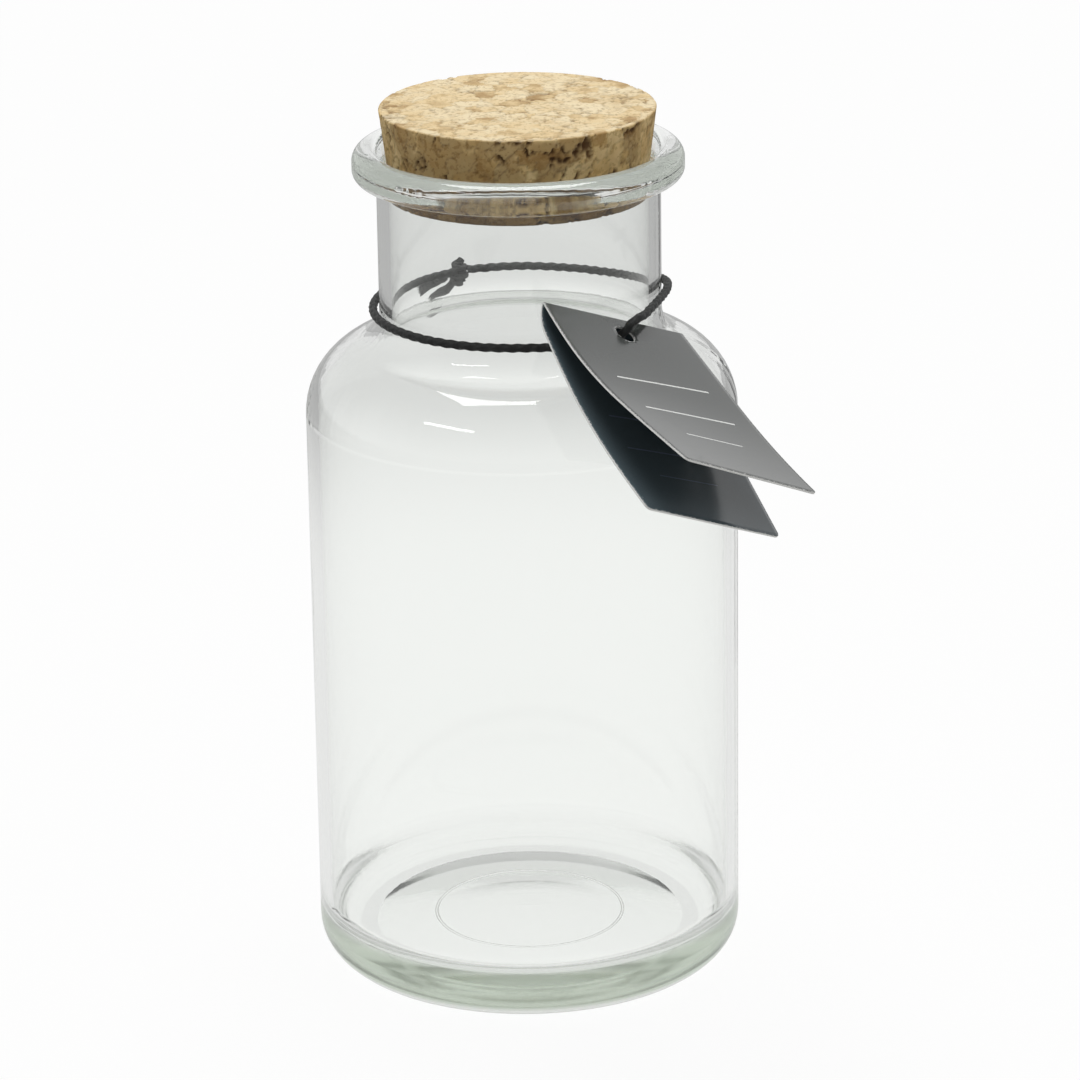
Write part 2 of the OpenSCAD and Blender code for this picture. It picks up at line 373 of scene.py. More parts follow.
def make_piece(name: str, points: np.ndarray, faces: list, stored: dict | None = None) -> bpy.types.Object:
    """Makes an object with smooth faces.

    Args:
        name: The piece's name.
        points: Its points, in millimetres.
        faces: Its faces, as numbers of points.
        stored: Numbers to keep at each point, by name.

    Returns:
        The new object.
    """
    mesh = bpy.data.meshes.new(name)
    mesh.from_pydata((np.asarray(points) * MM).tolist(), [], faces)
    for label, values in (stored or {}).items():
        attribute = mesh.attributes.new(label, "FLOAT", "POINT")
        attribute.data.foreach_set("value", np.asarray(values, np.float32).ravel())
    mesh.shade_smooth()
    mesh.validate()
    piece = bpy.data.objects.new(name, mesh)
    bpy.context.scene.collection.objects.link(piece)
    return piece


class Soup:
    """Points and faces of several tubes that become one piece."""

    def __init__(self) -> None:
        """Starts empty."""
        self.points: list[np.ndarray] = []
        self.faces: list[tuple[int, ...]] = []
        self.stored: dict[str, list[np.ndarray]] = {}
        self.count = 0

    def tube(self, rings: np.ndarray, **stored: np.ndarray) -> None:
        """Adds a tube with closed ends.

        Args:
            rings: Its points, as rings by sides by three.
            **stored: Numbers for each ring and side.
        """
        rows, columns = rings.shape[:2]
        self.faces += grid_faces(rows, columns, self.count)
        self.faces.append(tuple(range(self.count + columns - 1, self.count - 1, -1)))
        last = self.count + (rows - 1) * columns
        self.faces.append(tuple(range(last, last + columns)))
        self.points.append(rings.reshape(-1, 3))
        for name, values in stored.items():
            self.stored.setdefault(name, []).append(np.broadcast_to(values, (rows, columns)).ravel())
        self.count += rows * columns

    def piece(self, name: str) -> bpy.types.Object:
        """Makes the object of everything that was added."""
        stored = {label: np.concatenate(values) for label, values in self.stored.items()}
        return make_piece(name, np.vstack(self.points), self.faces, stored)


# ---------------------------------------------------------------- finishes


@dataclass(frozen=True)
class ClearGlass:
    """Pressed soda-lime glass: nearly clear, green where it is thick, slightly wavy."""

    tint: Colour = (0.953, 0.963, 0.950, 1.0)
    heel_tint: Colour = (0.50, 0.60, 0.46, 1.0)
    heel_haze: float = 0.14
    under_haze: float = 0.07
    thick_colour: Colour = (0.62, 0.68, 0.59, 1.0)
    thick_density: float = 3.0
    ior: float = 1.5
    wave: float = 0.00006

    def material(self, effects: Effects) -> bpy.types.Material:
        """Builds the material.

        Args:
            effects: The shared node groups.

        Returns:
            The new material.
        """
        tree = MaterialTree("clear_glass")
        here = tree.where(Coords.OBJECT)
        waves = tree.effect(effects.grain, {"Vector": tree.scaled(here, (1.0, 1.0, 0.28)), "Scale": 34.0,
                                            "Detail": 1.0, "Contrast": 0.5})
        smudges = tree.effect(effects.smudges, {"Vector": here, "Scale": 22.0, "Amount": 0.05})
        normal = tree.bump(waves.outputs["Height"], 1.0, self.wave)
        parts = tree.add("ShaderNodeSeparateXYZ", {0: here}).outputs
        flat = tree.add("ShaderNodeCombineXYZ", {0: parts[0], 1: parts[1]}).outputs[0]
        radius = tree.add("ShaderNodeVectorMath", {0: flat}, operation="LENGTH").outputs[1]
        curve = tree.maths("MULTIPLY", tree.spread(parts[2], 0.0095, 0.0105, 1.0, 0.0),
                           tree.spread(radius, 0.036, 0.041))
        skin = tree.maths("MAXIMUM", curve, tree.spread(radius, 0.0474, 0.0480))
        band = tree.maths("MULTIPLY", tree.spread(parts[2], 0.0024, 0.0046),
                          tree.spread(parts[2], 0.0120, 0.0160, 1.0, 0.0))
        heel = tree.maths("MULTIPLY", skin, band)
        outside = tree.maths("SUBTRACT", 1.0, tree.add("ShaderNodeNewGeometry").outputs["Backfacing"])
        colour = tree.mix(tree.maths("MULTIPLY", heel, outside), self.tint, self.heel_tint)
        under = tree.maths("MULTIPLY", tree.spread(parts[2], 0.0041, 0.0047, self.under_haze, 0.0),
                           tree.spread(radius, 0.0352, 0.0362, 1.0, 0.0))
        haze = tree.maths("ADD", tree.spread(heel, 0.0, 1.0, 0.004, self.heel_haze), under)
        roughness = tree.maths("ADD", smudges.outputs["Mask"], haze)
        glass = tree.add("ShaderNodeBsdfPrincipled", {
            "Base Color": colour, "Roughness": roughness, "IOR": self.ior,
            "Transmission Weight": 1.0, "Normal": normal})
        lets_light = tree.add("ShaderNodeBsdfTransparent", {"Color": (0.93, 0.95, 0.94, 1.0)})
        shadow = tree.add("ShaderNodeLightPath").outputs["Is Shadow Ray"]
        both = tree.add("ShaderNodeMixShader", {0: shadow, 1: glass.outputs[0], 2: lets_light.outputs[0]})
        inside = tree.add("ShaderNodeVolumeAbsorption", {"Color": self.thick_colour,
                                                         "Density": self.thick_density})
        tree.feed(tree.output.inputs["Surface"], both.outputs[0])
        tree.feed(tree.output.inputs["Volume"], inside.outputs[0])
        return tree.material


@dataclass(frozen=True)
class PressedCork:
    """Cork of large glued granules, cut clean, with dark pits and seams, and painted shade on the part inside the
    neck.
    """

    pale: Colour = (0.79, 0.67, 0.45, 1.0)
    tan: Colour = (0.73, 0.565, 0.32, 1.0)
    brown: Colour = (0.39, 0.25, 0.11, 1.0)
    bark: Colour = (0.12, 0.065, 0.028, 1.0)
    side: Colour = (1.0, 0.90, 0.67, 1.0)
    rough: Colour = (0.55, 0.48, 0.40, 1.0)
    # Painted shade: a darker multiply colour for the cork inside the neck, where less light reaches.
    painted_neck_shade: Colour = (0.42, 0.36, 0.27, 1.0)

    def material(self, effects: Effects) -> bpy.types.Material:
        """Builds the material.

        Args:
            effects: The shared node groups.

        Returns:
            The new material.
        """
        tree = MaterialTree("pressed_cork")
        here = tree.where(Coords.OBJECT)
        pores = tree.effect(effects.grain, {"Vector": here, "Scale": 900.0, "Detail": 3.0, "Contrast": 0.7})
        cloud = tree.effect(effects.grain, {"Vector": here, "Scale": 170.0, "Detail": 3.0, "Contrast": 0.8})
        smudges = tree.effect(effects.smudges, {"Vector": here, "Scale": 60.0, "Amount": 0.25})
        shade = tree.maths("MULTIPLY_ADD", cloud.outputs["Mask"], 0.35, tree.stored("granule"))
        ramp = tree.add("ShaderNodeValToRGB", {0: tree.maths("MULTIPLY", shade, 0.74)})
        stops = ramp.color_ramp.elements
        stops[0].position, stops[0].color = 0.05, self.brown
        stops[1].position, stops[1].color = 0.85, self.pale
        middle = stops.new(0.38)
        middle.color = self.tan
        speckled = tree.mix(tree.spread(pores.outputs["Mask"], 0.72, 0.95, 0.0, 0.45), ramp.outputs[0],
                            self.brown)
        seamed = tree.mix(tree.maths("MULTIPLY", tree.stored("seam"), 0.75), speckled, self.bark)
        pitted = tree.mix(tree.stored("pit"), seamed, self.bark)
        marked = tree.mix(smudges.outputs["Mask"], pitted, self.brown)
        wall = tree.stored("wall")
        coarse = tree.effect(effects.grain, {"Vector": here, "Scale": 48.0, "Detail": 4.0, "Contrast": 0.9})
        torn = tree.maths("MULTIPLY", wall, tree.spread(coarse.outputs["Mask"], 0.45, 0.85, 0.0, 0.75))
        sided = tree.mix(wall, marked, self.side, "MULTIPLY")
        worn = tree.mix(torn, sided, self.rough, "MULTIPLY")
        # Painted shade: darkens the cork below the mouth of the neck.
        colour = tree.mix(tree.stored("seated"), worn, self.painted_neck_shade, "MULTIPLY")
        height = tree.maths("SUBTRACT", pores.outputs["Height"], tree.stored("seam"))
        bsdf = tree.add("ShaderNodeBsdfPrincipled", {
            "Base Color": colour, "Roughness": tree.spread(pores.outputs["Mask"], 0.0, 1.0, 0.72, 0.92),
            "Specular IOR Level": 0.3, "Normal": tree.bump(height, 0.7, 0.00025)})
        tree.feed(tree.output.inputs["Surface"], bsdf.outputs[0])
        return tree.material


@dataclass(frozen=True)
class WaxedCord:
    """Black waxed cotton, plaited round."""

    black: Colour = (0.006, 0.0065, 0.0062, 1.0)
    worn: Colour = (0.040, 0.043, 0.042, 1.0)

    def material(self, effects: Effects) -> bpy.types.Material:
        """Builds the material.

        Args:
            effects: The shared node groups.

        Returns:
            The new material.
        """
        tree = MaterialTree("waxed_cord")
        here = tree.where(Coords.OBJECT)
        fibres = tree.effect(effects.grain, {"Vector": here, "Scale": 2600.0, "Detail": 2.0, "Contrast": 0.6})
        smudges = tree.effect(effects.smudges, {"Vector": here, "Scale": 160.0, "Amount": 0.5})
        crown = tree.maths("POWER", tree.stored("crown"), 2.0)
        dry = tree.maths("MULTIPLY", crown, fibres.outputs["Mask"])
        shade = tree.maths("MAXIMUM", tree.maths("MULTIPLY", dry, 0.8), smudges.outputs["Mask"])
        bsdf = tree.add("ShaderNodeBsdfPrincipled", {
            "Base Color": tree.mix(shade, self.black, self.worn),
            "Roughness": tree.spread(dry, 0.0, 1.0, 0.5, 0.75),
            "Specular IOR Level": 0.35, "Sheen Weight": 0.08, "Sheen Roughness": 0.4, "Normal": tree.bump(fibres.outputs["Height"], 0.8, 0.00012)})
        tree.feed(tree.output.inputs["Surface"], bsdf.outputs[0])
        return tree.material


class CardSide(Enum):
    """The three surfaces of the printed card."""

    OUTER = 0
    INNER = 1
    CORE = 2


@dataclass(frozen=True)
class PrintedCard:
    """White board printed charcoal outside and navy inside, under a gloss film."""

    charcoal: Colour = (0.062, 0.067, 0.064, 1.0)
    navy: Colour = (0.082, 0.108, 0.122, 1.0)
    board: Colour = (0.92, 0.92, 0.90, 1.0)
    print_white: Colour = (0.72, 0.73, 0.71, 1.0)
    rule_width: float = 0.35

    def rules(self, tree: MaterialTree, lines: tuple[tuple[float, float, float], ...]) -> bpy.types.NodeSocket:
        """Plain ruled lines.

        Args:
            tree: The material's tree.
            lines: Each line's distance along the card, half length and width, in millimetres.

        Returns:
            The socket of a mask that is 1 on the lines.
        """
        along = tree.stored("along")
        across = tree.maths("ABSOLUTE", tree.stored("across"))
        mask = None
        for place, half, width in lines:
            near = tree.maths("ABSOLUTE", tree.maths("SUBTRACT", along, place))
            line = tree.maths("LESS_THAN", near, width / 2)
            line = tree.maths("MULTIPLY", line, tree.maths("LESS_THAN", across, half))
            mask = line if mask is None else tree.maths("MAXIMUM", mask, line)
        return mask

    def material(self, effects: Effects, side: CardSide) -> bpy.types.Material:
        """Builds the material of one surface.

        Args:
            effects: The shared node groups.
            side: Which surface it is.

        Returns:
            The new material.
        """
        tree = MaterialTree(f"card_{side.name.lower()}")
        place = tree.add("ShaderNodeCombineXYZ", {0: tree.stored("across"), 1: tree.stored("along")}).outputs[0]
        fibres = tree.effect(effects.grain, {"Vector": place, "Scale": 2.2, "Detail": 3.0, "Contrast": 0.6})
        smudges = tree.effect(effects.smudges, {"Vector": place, "Scale": 0.05, "Amount": 0.6})
        if side is CardSide.CORE:
            colour = tree.mix(tree.maths("MULTIPLY", fibres.outputs["Mask"], 0.35), self.board,
                              (0.45, 0.45, 0.43, 1.0))
            bsdf = tree.add("ShaderNodeBsdfPrincipled", {
                "Base Color": colour, "Roughness": 0.9, "Normal": tree.bump(fibres.outputs["Height"], 0.6, 0.0001)})
            tree.feed(tree.output.inputs["Surface"], bsdf.outputs[0])
            return tree.material
        edge = tree.stored("edge")
        chipped = tree.maths("MULTIPLY", tree.spread(edge, 0.0, 0.55, 1.0, 0.0),
                             tree.spread(fibres.outputs["Mask"], 0.55, 0.8))
        if side is CardSide.OUTER:
            base, ink = self.charcoal, self.print_white
            lines = ((24.0, 14.0, 0.5), (36.0, 14.0, 0.5), (46.0, 9.0, 0.35))
        else:
            base, ink = self.navy, (0.15, 0.18, 0.25, 1.0)
            lines = ((-30.0, 14.0, 0.4), (-40.0, 14.0, 0.4), (-48.0, 9.0, 0.3))
        printed = tree.mix(self.rules(tree, lines), base, ink)
        mottled = tree.mix(tree.maths("MULTIPLY", fibres.outputs["Mask"], 0.12), printed, self.board,
                           "SOFT_LIGHT")
        colour = tree.mix(tree.maths("MULTIPLY", chipped, 0.8), mottled, self.board)
        roughness = tree.maths("ADD", tree.maths("MULTIPLY", smudges.outputs["Mask"], 0.25), 0.14)
        bsdf = tree.add("ShaderNodeBsdfPrincipled", {
            "Base Color": colour, "Roughness": roughness, "Specular IOR Level": 0.5, "Coat Weight": 0.25,
            "Coat Roughness": 0.1, "Normal": tree.bump(fibres.outputs["Height"], 0.25, 0.00003)})
        tree.feed(tree.output.inputs["Surface"], bsdf.outputs[0])
        return tree.material


# ---------------------------------------------------------------- bottle and stopper


@dataclass
class Bottle:
    """The glass, which keeps the shape that the frame gives it."""

    finish: ClearGlass = ClearGlass()

    def dress(self, effects: Effects) -> None:
        """Puts the glass finish on it.

        Args:
            effects: The shared node groups.
        """
        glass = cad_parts["glass_bottle"]
        glass.data.materials.clear()
        glass.data.materials.append(self.finish.material(effects))
        LOG.info("bottle: %d faces", len(glass.data.polygons))


@dataclass
class Stopper:
    """The tapered cork, modelled granule by granule."""

    finish: PressedCork = PressedCork()
    around: int = 480
    spacing: float = 0.42
    granule: float = 4.2
    seed: int = 11
    edge_r: float = 0.5
    pit_depth: float = 0.7
    mouth_z: float = 190.5

    def outline(self) -> np.ndarray:
        """The half section, from the middle of the bottom round to the middle of the top.

        Returns:
            Points as radius and height, in millimetres.
        """
        low, high = (np.array(corner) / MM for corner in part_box("cork_stopper"))
        top_r = high[0] - 0.05
        low_r = top_r - (high[2] - low[2]) * math.tan(math.radians(7.3))
        corners = [(0.0, low[2]), (low_r, low[2]), (top_r, high[2]), (0.0, high[2])]
        points = [np.array([[0.15, low[2]]])]
        for start, end in zip(corners, corners[1:]):
            start, end = np.array(start), np.array(end)
            span = np.linalg.norm(end - start)
            steps = round(span / self.spacing)
            inset = self.edge_r * 0.6 / span
            shares = np.linspace(inset, 1 - inset, steps)[:, None]
            points.append(start + (end - start) * shares)
        return np.vstack([*points, [[0.15, high[2]]]])

    def granules(self, points: np.ndarray) -> tuple[np.ndarray, np.ndarray, np.ndarray]:
        """Finds the granule that each point belongs to.

        Args:
            points: The points, in millimetres.

        Returns:
            For each point a granule's shade, a seam mask and a pit mask, from 0 to 1.
        """
        rng = np.random.default_rng(self.seed)
        low, high = points.min(axis=0) - self.granule, points.max(axis=0) + self.granule
        count = int(np.prod(high - low) / self.granule ** 3)
        centres = low + rng.random((count, 3)) * (high - low)
        shades, loose = rng.random(count) ** 0.6, rng.random(count)
        tree = kdtree.KDTree(count)
        for index, centre in enumerate(centres):
            tree.insert(centre, index)
        tree.balance()
        shade, seam, pit = (np.zeros(len(points)) for _ in range(3))
        for row, point in enumerate(points):
            wobble = noise.noise_vector(Vector(point) * 0.55) * 1.0 + noise.noise_vector(Vector(point) * 1.7) * 0.4
            (_, first, near), (_, second, far) = tree.find_n(Vector(point) + wobble, 2)
            gap = far - near
            shade[row] = shades[first]
            seam[row] = max(0.0, 1 - gap / 0.35) * (0.35 + 0.65 * loose[second])
            open_seam = max(0.0, 1 - gap / 0.9) if loose[first] + loose[second] > 1.35 else 0.0
            hollow = noise.noise(Vector(point) * 0.9 + Vector((7.0, 3.0, 5.0)))
            pit[row] = min(1.0, open_seam * max(0.0, hollow + 0.25) * 2.2)
        return shade, seam, pit

    def build(self) -> bpy.types.Object:
        """Builds the cork's mesh.

        Returns:
            The piece.
        """
        outline = self.outline()
        rows = len(outline)
        angles = np.arange(self.around) * 2 * math.pi / self.around
        rings = np.stack([outline[:, :1] * np.cos(angles), outline[:, :1] * np.sin(angles),
                          np.broadcast_to(outline[:, 1:], (rows, self.around))], axis=2)
        flat = rings.reshape(-1, 3)
        shade, seam, pit = self.granules(flat)
        heads = np.gradient(outline, axis=0)
        normals = np.column_stack([-heads[:, 1], heads[:, 0]]) / np.linalg.norm(heads, axis=1)[:, None]
        across = np.repeat(normals, self.around, axis=0)
        turned = np.tile(angles, rows)
        sink = np.column_stack([across[:, 0] * np.cos(turned), across[:, 0] * np.sin(turned), across[:, 1]])
        wall = np.clip(np.abs(across[:, 0]) * 1.5 - 0.3, 0, 1)
        pit = np.clip(pit * (0.55 + 0.75 * wall), 0, 1)
        seam = seam * (0.55 + 0.45 * wall)
        depth = 0.12 * seam + self.pit_depth * pit
        soup = Soup()
        # The last mask is painted shade: 1 on the cork below the neck's mouth, fading out over 1.5 mm.
        soup.tube((flat + sink * depth[:, None]).reshape(rows, self.around, 3),
                  granule=shade.reshape(rows, -1), seam=seam.reshape(rows, -1), pit=pit.reshape(rows, -1),
                  wall=wall.reshape(rows, -1), seated=np.clip((self.mouth_z - outline[:, 1:]) / 1.5, 0, 1))
        return soup.piece("cork")

    def dress(self, effects: Effects) -> None:
        """Builds the cork, finishes it and seats it in the neck.

        Args:
            effects: The shared node groups.
        """
        cork = self.build()
        cork.data.materials.append(self.finish.material(effects))
        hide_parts("cork_stopper")
        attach(cork, "stopper")
        LOG.info("stopper: %d faces", len(cork.data.polygons))


# ---------------------------------------------------------------- cord and tag


@dataclass(frozen=True)
class TagFrame:
    """Where the tag's fold lies: +X runs along it, and the leaves hang towards -Y and -Z."""

    middle: tuple[float, float, float] = (20.6607, -28.4369, 164.4713)
    turn: float = 38.5
    tilt: float = 21.0

    def placed(self, points: np.ndarray) -> np.ndarray:
        """Takes points from the tag's frame to the bottle's.

        Args:
            points: The points, in millimetres.

        Returns:
            The same points in the bottle's frame.
        """
        turned = Matrix.Rotation(math.radians(self.turn), 3, "Z") @ Matrix.Rotation(math.radians(self.tilt), 3, "Y")
        return np.asarray(points) @ np.array(turned).T + np.array(self.middle)


@dataclass(frozen=True)
class LoopPlace:
    """Where the cord's loop lies at the foot of the neck."""

    radius: float = 33.9
    height: float = 159.3713
    knot_azimuth: float = 115.0

    def round_neck(self, points: list) -> np.ndarray:
        """Points given as azimuth, outward of the loop and above it, in degrees and millimetres."""
        azimuth, out, up = np.array(points, float).T
        turned = np.radians(azimuth)
        return np.column_stack([(self.radius + out) * np.cos(turned), (self.radius + out) * np.sin(turned),
                                self.height + up])

    def by_knot(self, points: list) -> np.ndarray:
        """Points given as along the loop from the knot, outward of the loop and above it."""
        turned = [(self.knot_azimuth + math.degrees(along / self.radius), out, up) for along, out, up in points]
        return self.round_neck(turned)


@dataclass
class NeckCord:
    """The cord round the neck: its loop through the tag, its knot and its two frayed tails."""

    finish: WaxedCord = WaxedCord()
    place: LoopPlace = LoopPlace()
    tag: TagFrame = TagFrame()
    diameter: float = 2.0
    bulk: float = 1.05
    length: float = 212.0
    sides: int = 30
    step: float = 0.26
    strand_lay: float = 6.2
    relief: float = 0.22
    seed: int = 5

    def loop_route(self) -> np.ndarray:
        """The loop's centreline, from the knot round through both leaves and back to the knot."""
        around, near = self.place.round_neck, self.place.by_knot
        through_tag = [(-7.8, 1.5, -8.5), (-5.2, -0.4, -7.7), (-2.3, -1.6, -6.8), (-0.2, -2.6, -5.3),
                       (0.3, -3.8, -3.4), (0.4, -4.8, -1.8), (1.2, -5.2, 0.1), (3.3, -4.7, 1.6),
                       (6.1, -3.3, 2.5), (9.1, -1.2, 3.8), (12, 0.9, 4.9)]
        front = [(270, 0, 0), (277, 0.2, 0), (283, 0.8, 0)]
        right = [(334, 1.1, 5.3), (341, 0.4, 5.1), (349, 0.1, 4.9), (357, 0, 4.7), (366, 0, 4.1),
                 (376, 0, 3.2), (387, 0, 2.2), (398, 0, 1.3), (410, 0, 0.6), (422, 0, 0.2)]
        back = [(434, 0, 0), (446, 0, 0), (457, 0, 0)]
        points = np.vstack([near([(1.5, 1.1, -0.2), (4.7, 0, 0)]),
                            around([(azimuth, 0, 0) for azimuth in range(133, 264, 10)]), around(front),
                            self.tag.placed(through_tag), around(right + back),
                            near([(-4.7, 0, 0), (-1.5, 1.1, -0.2)])])
        return curve_through(points, self.step)

    def plait(self, route: np.ndarray, radii: np.ndarray, soup: Soup) -> None:
        """Adds a round plait of six strands along a route.

        Args:
            route: The route's points, in millimetres.
            radii: The plait's radius at each point.
            soup: What the plait is added to.
        """
        sides, ups = frames_along(route)
        turn = np.arange(self.sides) * 2 * math.pi / self.sides
        lay = lengths_along(route)[:, None] * 2 * math.pi / self.strand_lay * 2
        around = 3 * turn[None, :]
        over = 0.5 + 0.5 * np.cos(around)
        first = (0.5 + 0.5 * np.cos(around + lay)) * (0.45 + 0.55 * over)
        second = (0.5 + 0.5 * np.cos(around - lay)) * (1.0 - 0.55 * over)
        crown = np.maximum(first, second)
        reach = radii[:, None] * (1 - self.relief * (1 - crown))
        rings = (route[:, None] + (reach * np.cos(turn))[..., None] * sides[:, None]
                 + (reach * np.sin(turn))[..., None] * ups[:, None])
        soup.tube(rings, crown=crown)

    def loop(self) -> bpy.types.Object:
        """Returns:
            The piece.
        """
        route = self.loop_route()
        soup = Soup()
        self.plait(route, np.full(len(route), self.diameter / 2 * self.bulk), soup)
        loop = soup.piece("cord_loop")
        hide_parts("neck_cord")
        LOG.info("cord loop: %.1f mm", lengths_along(route)[-1])
        self.route = route
        return loop

    def knot(self) -> bpy.types.Object:
        """Builds the knot: the cord wound tight round its own two ends.

        Returns:
            The piece.
        """
        centre = self.place.by_knot([(0, 2.5, -1)])[0]
        soup = Soup()
        share = np.linspace(0, 1, 60)
        angle = share * 2.8 * 2 * math.pi + 0.6
        tuck = np.clip(np.minimum(share, 1 - share) / 0.09, 0, 1)
        radius = 1.3 * (0.25 + 0.75 * tuck) * (1 + 0.06 * np.sin(5 * angle))
        wraps = np.column_stack([radius * np.cos(angle), radius * np.sin(angle),
                                 (0.5 - share) * 4.9 + 0.25 * np.sin(angle + 1)]) + centre
        wraps = curve_through(wraps, self.step)
        self.plait(wraps, np.full(len(wraps), self.diameter / 2 * 0.97), soup)
        for x, y, lean in ((0.5, 0.2, 0.5), (-0.5, -0.2, -0.4)):
            strand = np.array([(x, y, 2.4), (x * 0.8, y, 0.8), (x, y * 0.6, -0.8), (x + lean, y, -2.4)]) + centre
            strand = curve_through(strand, self.step)
            self.plait(strand, np.full(len(strand), 0.7), soup)
        knot = soup.piece("cord_knot_wraps")
        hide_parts("cord_knot")
        return knot

    def tail(self, name: str, node: str, points: list, seed: int) -> bpy.types.Object:
        """Builds one tail, whose end has come apart into fibres.

        Args:
            name: The piece's name.
            node: The CAD node that it stands for.
            points: Its route, given by the knot.
            seed: Seed of its fibres.

        Returns:
            The piece.
        """
        rng = random.Random(seed)
        route = curve_through(self.place.by_knot(points), self.step)
        share = np.linspace(0, 1, len(route))
        soup = Soup()
        body = share <= 0.88
        fade = np.clip((share[body] - 0.4) / 0.48, 0, 1)
        self.plait(route[body], self.diameter / 2 * (1.15 - 0.5 * fade ** 2), soup)
        sides, ups = frames_along(route)
        turn = np.arange(6) * math.pi / 3
        for _ in range(150):
            start = rng.uniform(0.22, 0.62)
            stop = rng.uniform(0.8, 1.0)
            own = np.linspace(start, stop, 16)
            angle = rng.uniform(0, 2 * math.pi) + rng.uniform(-1.5, 1.5) * (own - start)
            out = 0.4 + 0.85 * rng.random() + rng.uniform(-0.3, 0.5) * ((own - start) / (stop - start)) ** 2
            out = np.minimum(out, 1.1)
            index = own * (len(route) - 1)
            low = np.clip(index.astype(int), 0, len(route) - 2)
            part = (index - low)[:, None]
            centre = route[low] * (1 - part) + route[low + 1] * part
            wiggle = 0.06 * np.sin(own * rng.uniform(20, 50) + rng.uniform(0, 6))
            fibre = (centre + (out * np.cos(angle) + wiggle)[:, None] * sides[low]
                     + (out * np.sin(angle))[:, None] * ups[low])
            fibre_sides, fibre_ups = frames_along(fibre)
            thick = rng.uniform(0.10, 0.19) * np.linspace(1, 0.4, 16)[:, None]
            rings = (fibre[:, None] + (thick * np.cos(turn))[..., None] * fibre_sides[:, None]
                     + (thick * np.sin(turn))[..., None] * fibre_ups[:, None])
            soup.tube(rings, crown=np.array(rng.uniform(0.3, 1.0)))
        tail = soup.piece(name)
        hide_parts(node)
        return tail

    def dress(self, effects: Effects) -> None:
        """Builds the whole cord and finishes it.

        Args:
            effects: The shared node groups.
        """
        black = self.finish.material(effects)
        long_end = [(0.9, 3.4, -2.9), (2, 4.3, -4.9), (2.9, 6.1, -6.7), (3.4, 8.3, -8.2), (3.6, 10.4, -9.8),
                    (3.7, 12.2, -11.5)]
        short_end = [(2, 2.8, -1), (4.3, 2.6, -1.5), (6.9, 2.5, -2), (9.6, 2.8, -2.8), (12.3, 3.5, -4.3)]
        loop = self.loop()
        pieces = [self.knot(), self.tail("frayed_tail_long", "cord_tail_long", long_end, self.seed),
                  self.tail("frayed_tail_short", "cord_tail_short", short_end, self.seed + 1)]
        for piece in (loop, *pieces):
            piece.data.materials.append(black)
            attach(piece, "cord")
            LOG.info("cord: %s, %d faces", piece.name, len(piece.data.polygons))
        exit_point = self.place.by_knot([(0, 2.5, -1)])[0] * MM


